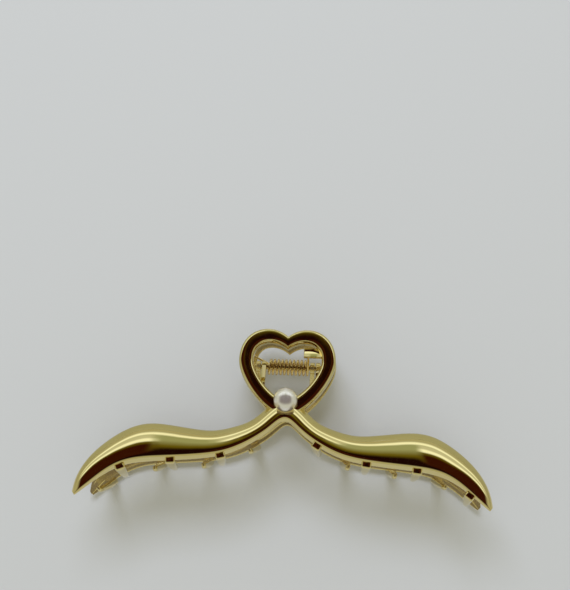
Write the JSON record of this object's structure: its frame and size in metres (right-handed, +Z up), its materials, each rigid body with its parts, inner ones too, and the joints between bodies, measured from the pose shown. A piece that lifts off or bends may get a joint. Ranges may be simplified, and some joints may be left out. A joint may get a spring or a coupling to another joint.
{
  "type": "claw clip",
  "caption": "Metal claw hair clip: hinged jaws with heart-shaped finger rings, S-curved hollow-backed arms, interleaving teeth, pearls at the crossings and a torsion spring that shuts it.",
  "frame": {"origin": "centre of the bounding box's underside: the clip lies on its back jaw, on the back pearl and the bulges of the back arms", "axes": "+X along the hinge pin, from arm tip to arm tip; +Y towards the heart rings; +Z up, out of the front jaw"},
  "size_m": [0.1212, 0.0516, 0.0354],
  "materials": {
    "gold_plated_zinc": "mirror-polished pale gold plating on a zinc casting",
    "plated_pin_steel": "thin pale gold plating",
    "brassed_spring_wire": "brassed drawn wire",
    "pearl_lacquer": "white pearl lacquer"
  },
  "bodies": {
    "back": {"back_jaw": "gold_plated_zinc", "back_pearl": "pearl_lacquer", "hinge_pin": "plated_pin_steel", "torsion_spring": "brassed_spring_wire"},
    "front": {"front_jaw": "gold_plated_zinc", "front_pearl": "pearl_lacquer"}
  },
  "joints": [
    {"name": "jaw_hinge", "type": "hinge", "parent": "back", "child": "front", "pos_m": [0, 0.01498, 0.01731], "axis": [-1, 0, 0], "range_deg": [0, 34], "stiffness_Nm_per_rad": 0.12, "springref_deg": -40.11, "deforming": ["torsion_spring"]}
  ]
}
